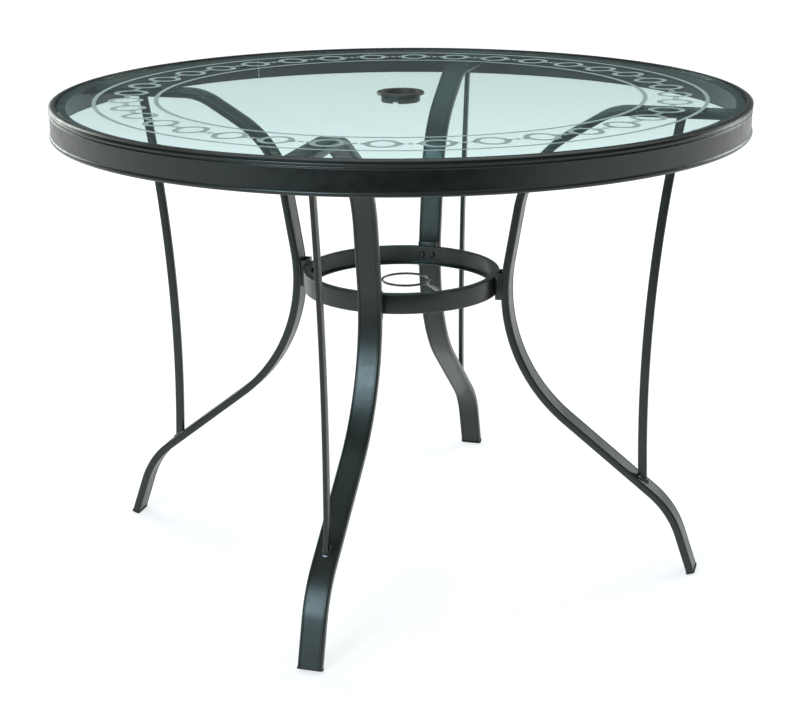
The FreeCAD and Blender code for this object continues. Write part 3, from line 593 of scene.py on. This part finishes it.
bpy.ops.mesh.select_all(action="SELECT")
slope = Vector((shin_reach - neck_reach, 0, shin_level - neck_level)).normalized()
outwards = Vector((-slope.z, 0, slope.x))
leg_half = 0.0056
bpy.ops.mesh.bisect(plane_co=Vector((shin_reach, 0, shin_level)) + outwards * leg_half,
                    plane_no=outwards, use_fill=True, clear_inner=True)
close_shell()
for bar, side in zip(set_round(strut, SIDES), SIDES):
    fit(bar, powder_coat, "frame_coat", "table_frame", "strut_" + side)


def lay_bead(name, points, thickness, closed=True):
    """Lays a round weld bead along a line of points."""
    draw(name, points + points[:1] if closed else points)
    bpy.ops.object.mode_set(mode="OBJECT")
    bpy.ops.object.convert(target="CURVE")
    bead_line = bpy.context.object
    bead_line.data.bevel_depth = thickness / 2
    bead_line.data.bevel_resolution = 2
    bead_line.data.use_fill_caps = True
    bpy.ops.object.convert(target="MESH")
    bpy.ops.object.mode_set(mode="EDIT")
    close_shell()
    return bpy.context.object


# The welds are coated with the frame, and their ripples show through the coat. Their colour is
# lighter than the frame's and flecked lighter still, a painted glint on the beads.
glinting_weld_coat = new_finish("glinting_weld_coat", (0.014, 0.016, 0.0135), 0.22, 0.9)
drift(glinting_weld_coat, "Base Color", 200, (0.010, 0.0115, 0.0095), (0.024, 0.028, 0.023))
grain(glinting_weld_coat, 420, 0.0006)
strut_edge = rounded([(-0.0079, -0.0038, 0.002), (0.0079, -0.0038, 0.002),
                      (0.0079, 0.0038, 0.002), (-0.0079, 0.0038, 0.002)])
foot_middle = Vector((0.3779, 0, 0.1423))
foot_bead = lay_bead("strut_foot_weld", [
    foot_middle + slope * a + Vector((0, b, 0)) for a, b in strut_edge], 0.0056)
head_bead = lay_bead("strut_head_weld", [
    Vector((strut_reach + a * 0.88, b, 0.6892)) for a, b in strut_edge], 0.0026)
for weld in (foot_bead, head_bead):
    for bead_line, side in zip(set_round(weld, SIDES), SIDES):
        fit(bead_line, glinting_weld_coat, "frame_coat", "table_frame")


# The foot caps: moulded in black plastic, a thin sole under the square end of each leg
# and a plug that is pushed up its hollow.
def pick(piece, test):
    """Selects the faces whose middle and normal pass a test."""
    bpy.ops.mesh.select_mode(type="FACE")
    bpy.ops.mesh.select_all(action="DESELECT")
    bpy.ops.object.mode_set(mode="OBJECT")
    for face in piece.data.polygons:
        face.select = test(face.center, face.normal)
    bpy.ops.object.mode_set(mode="EDIT")


black_plastic = new_finish("black_plastic", (0.012, 0.013, 0.013), 0.45)
drift(black_plastic, "Roughness", 120, (0.38,) * 3, (0.52,) * 3)
grain(black_plastic, 1600, 0.00008)
sole_height, plug_height, plug_setback = 0.0025, 0.0105, 0.0031
foot_slant = math.radians(19)
sole = rounded([(-0.0068, -0.0183, 0.004), (0.0068, -0.0183, 0.004),
                (0.0068, 0.0183, 0.004), (-0.0068, 0.0183, 0.004)])
foot_cap = draw("foot_plug", [(x, y, -sole_height) for x, y in sole + sole[:1]])
bpy.ops.mesh.edge_face_add()
bpy.ops.mesh.extrude_region_move(TRANSFORM_OT_translate={"value": (0, 0, sole_height)})
bpy.ops.mesh.inset(thickness=plug_setback)
bpy.ops.mesh.extrude_region_move(TRANSFORM_OT_translate={"value": (0, 0, plug_height)})
close_shell()
bpy.ops.object.mode_set(mode="EDIT")
pick(foot_cap, lambda middle, normal: normal.z < -0.9)
bpy.ops.mesh.bevel(offset=0.0005, segments=2, affect="EDGES")
bpy.ops.object.mode_set(mode="OBJECT")
foot_cap.rotation_euler.y = -foot_slant
foot_cap.location = (foot_reach, 0, foot_level)
bpy.ops.object.transform_apply(location=True, rotation=True)
for cap, side in zip(set_round(foot_cap, SIDES), SIDES):
    fit(cap, black_plastic, "black_plastic", "table_frame", "foot_cap_" + side)


# The stretcher ring: a small aluminium channel rolled to a hoop, open to the middle. The two
# bolt holes at each leg are left out.
channel = rounded([
    (0.1374, 0.4154, 0.0012), (0.1484, 0.4154, 0.002), (0.1484, 0.445, 0.002),
    (0.1374, 0.445, 0.0012), (0.1374, 0.4425, 0.0012), (0.1459, 0.4425, 0.001),
    (0.1459, 0.4179, 0.001), (0.1374, 0.4179, 0.0012)])
stretcher = turn_hoop("stretcher_channel", channel, 192)
fit(stretcher, powder_coat, "frame_coat", "table_frame", "stretcher_ring")


# The leg brackets: short channels whose web is bolted to the stretcher ring. Their
# flanges reach out to the leg, follow its curve and are welded to it.
flange_end, bracket_foot, bracket_height = 0.17545, 0.4102, 0.04
bend_middle, bend_radius = Vector((0.41395, 0, 0.42572)), 0.2565
plan = rounded([
    (0.1484, -0.015, 0.0006), (flange_end, -0.015, 0), (flange_end, -0.0125, 0),
    (0.1509, -0.0125, 0.0006), (0.1509, 0.0125, 0.0006), (flange_end, 0.0125, 0),
    (flange_end, 0.015, 0), (0.1484, 0.015, 0.0006)], 2)
bracket = draw("bracket_channel", [(x, y, bracket_foot) for x, y in plan + plan[:1]])
bpy.ops.mesh.edge_face_add()
bpy.ops.mesh.extrude_region_move(TRANSFORM_OT_translate={"value": (0, 0, bracket_height)})
close_shell()
bpy.ops.mesh.primitive_cylinder_add(vertices=720, radius=bend_radius, depth=0.05,
                                    location=bend_middle, rotation=(math.radians(90), 0, 0))
leg_curve = bpy.context.object
bpy.context.view_layer.objects.active = bracket
cut = bracket.modifiers.new("leg_curve", "BOOLEAN")
cut.operation = "DIFFERENCE"
cut.object = leg_curve
bpy.ops.object.modifier_apply(modifier="leg_curve")
bpy.data.objects.remove(leg_curve)
edges = bracket.modifiers.new("edges", "BEVEL")
edges.width = 0.0003
edges.segments = 2
bpy.ops.object.modifier_apply(modifier="edges")
for piece, side in zip(set_round(bracket, SIDES), SIDES):
    fit(piece, powder_coat, "frame_coat", "table_frame", "leg_bracket_" + side)
seam_start, seam_aside = Vector((-0.2566, 0, 0)), Vector((0, 0.0155, 0))
for hand in (-1, 1):
    seam = [bend_middle + Matrix.Rotation(math.radians(tilt), 3, "Y") @ seam_start
            + seam_aside * hand for tilt in (-3.2, -1, 1, 3.2, 5.3)]
    weld = lay_bead("bracket_weld_%s" % ("near" if hand < 0 else "far"), seam, 0.003, False)
    for bead_line in set_round(weld, SIDES):
        fit(bead_line, glinting_weld_coat, "frame_coat", "table_frame")


# The bracket bolts and nuts: bronze-plated steel. Round socket heads lie inside the
# ring's web, and the nuts are inside the bracket.
bronzed_steel = new_finish("bronzed_steel", (0.06, 0.05, 0.04), 0.35)
bronzed_steel.node_tree.nodes["Principled BSDF"].inputs["Metallic"].default_value = 1
drift(bronzed_steel, "Base Color", 250, (0.035, 0.029, 0.023), (0.09, 0.072, 0.055))
drift(bronzed_steel, "Roughness", 400, (0.28,) * 3, (0.5,) * 3)


def add_pin(name, place, towards, radius, length, sides):
    """Adds a cylinder that starts at a place and runs towards one side."""
    bpy.ops.object.select_all(action="DESELECT")
    turn = Vector((0, 0, 1)).rotation_difference(Vector(towards)).to_euler()
    bpy.ops.mesh.primitive_cylinder_add(
        vertices=sides, radius=radius, depth=length, rotation=turn,
        location=Vector(place) + Vector(towards) * length / 2)
    pin = bpy.context.object
    pin.name = name
    bpy.ops.object.transform_apply(location=True, rotation=True)
    return pin


def merge(pieces):
    """Makes one group of several pieces and opens it for editing."""
    bpy.ops.object.select_all(action="DESELECT")
    for piece in pieces:
        piece.select_set(True)
    bpy.context.view_layer.objects.active = pieces[0]
    bpy.ops.object.join()
    bpy.ops.object.mode_set(mode="EDIT")
    return bpy.context.object


def shape_head(pin, towards, rim, socket, depth):
    """Rounds a head's edge and sinks a socket in its outer face."""
    bpy.ops.object.mode_set(mode="EDIT")
    pick(pin, lambda middle, normal: normal.dot(Vector(towards)) > 0.9)
    bpy.ops.mesh.bevel(offset=rim, segments=3, affect="EDGES")
    bpy.ops.object.mode_set(mode="OBJECT")
    top = max(face.center.dot(Vector(towards)) for face in pin.data.polygons)
    bpy.ops.object.mode_set(mode="EDIT")
    pick(pin, lambda middle, normal: middle.dot(Vector(towards)) > top - 0.00001)
    bpy.ops.mesh.inset(thickness=socket)
    bpy.ops.mesh.extrude_region_move(
        TRANSFORM_OT_translate={"value": Vector(towards) * -depth})
    bpy.ops.object.mode_set(mode="OBJECT")


bolt_seat, nut_seat, bolt_level, bolt_spread = 0.14534, 0.1509, 0.4302, 0.0084
bolt_pieces, nut_pieces = [], []
for side in (-bolt_spread, bolt_spread):
    head = add_pin("bracket_bolt_set", (bolt_seat, side, bolt_level), (-1, 0, 0),
                   0.0044, 0.0028, 28)
    shape_head(head, (-1, 0, 0), 0.0011, 0.0014, 0.0016)
    shank = add_pin("shank", (bolt_seat, side, bolt_level), (1, 0, 0),
                    0.0025, 0.01076, 20)
    shape_head(shank, (1, 0, 0), 0.0004, 0.0004, 0.0001)
    bolt_pieces += [head, shank]
    nut = add_pin("bracket_nut_set", (nut_seat, side, bolt_level), (1, 0, 0),
                  0.00462, 0.004, 6)
    shape_head(nut, (1, 0, 0), 0.0004, 0.0009, 0.0003)
    nut_pieces.append(nut)
for pieces, node in ((bolt_pieces, "bracket_bolts"), (nut_pieces, "bracket_nuts")):
    group = merge(pieces)
    spread_round(4)
    bpy.ops.object.mode_set(mode="OBJECT")
    fit(group, bronzed_steel, "bronzed_steel", "table_frame", node)

# The leg-top screws: two steel pan heads under each leg's top, whose shanks run up
# through the hollow bar into the rim's ledge.
screw_reach, screw_spread = 0.491, 0.008
screw_pieces = []
for side in (-screw_spread, screw_spread):
    head = add_pin("leg_screw_set", (screw_reach, side, 0.6891), (0, 0, -1),
                   0.0045, 0.0029, 28)
    shape_head(head, (0, 0, -1), 0.0012, 0.0016, 0.0013)
    shank = add_pin("shank", (screw_reach, side, 0.689), (0, 0, 1), 0.0024, 0.0145, 20)
    shape_head(shank, (0, 0, 1), 0.0004, 0.0004, 0.0001)
    screw_pieces += [head, shank]
group = merge(screw_pieces)
spread_round(4)
bpy.ops.object.mode_set(mode="OBJECT")
fit(group, bronzed_steel, "bronzed_steel", "table_frame", "leg_top_screws")


# The pole loop: one round steel wire, bent to an eye round the umbrella's pole. Its two
# ends run side by side to the ring's web, are welded there and coated with the frame.
loop_level, wire_radius, arms_turn = 0.427, 0.0018, math.radians(-55)
far_arm, far_end, near_end = 0.03275, 0.1424, 0.1432
back_bend, front_bend = Vector((0.02902, 0.04775)), Vector((0.03651, 0.02405))
eye_middle = Vector((0, 0.0063))
bpy.ops.object.select_all(action="DESELECT")
bpy.ops.mesh.primitive_circle_add(vertices=16, radius=wire_radius, fill_type="NGON",
                                  location=(far_end, far_arm, loop_level),
                                  rotation=(0, math.radians(90), 0))
pole_loop = bpy.context.object
pole_loop.name = "pole_loop_wire"
bpy.ops.object.transform_apply(location=True, rotation=True)
bpy.ops.object.mode_set(mode="EDIT")
bpy.ops.mesh.select_all(action="SELECT")
bpy.ops.mesh.extrude_region_move(
    TRANSFORM_OT_translate={"value": (back_bend.x - far_end, 0, 0)})
for middle, degrees, steps in ((back_bend, 35.0, 8), (eye_middle, -330.93, 84),
                               (front_bend, 115.93, 16)):
    bpy.ops.mesh.spin(steps=steps, angle=math.radians(degrees),
                      center=(middle.x, middle.y, loop_level), axis=(0, 0, 1))
bpy.ops.mesh.extrude_region_move(
    TRANSFORM_OT_translate={"value": (near_end - front_bend.x, 0, 0)})
close_shell()
pole_loop.rotation_euler.z = arms_turn
bpy.ops.object.transform_apply(rotation=True)
# The wire takes the welds' coat, whose lighter colour is a painted glint.
fit(pole_loop, glinting_weld_coat, "frame_coat", "table_frame", "pole_loop")
loop_welds = []
for place, size in (((0.0432, 0.0309), (0.0062, 0.0036, 0.0024)),
                    ((0.1415, 0.0309), (0.0024, 0.0052, 0.0034))):
    bpy.ops.object.select_all(action="DESELECT")
    bpy.ops.mesh.primitive_ico_sphere_add(subdivisions=3, radius=1,
                                          location=(*place, loop_level), scale=size)
    bpy.ops.object.transform_apply(location=True, rotation=True, scale=True)
    loop_welds.append(bpy.context.object)
loop_weld = merge(loop_welds)
bpy.ops.object.mode_set(mode="OBJECT")
loop_weld.name = "pole_loop_weld"
loop_weld.rotation_euler.z = arms_turn
bpy.context.scene.cursor.location = (0, 0, 0)
bpy.ops.object.origin_set(type="ORIGIN_CURSOR")
bpy.ops.object.transform_apply(location=True, rotation=True, scale=True)
fit(loop_weld, glinting_weld_coat, "frame_coat", "table_frame")
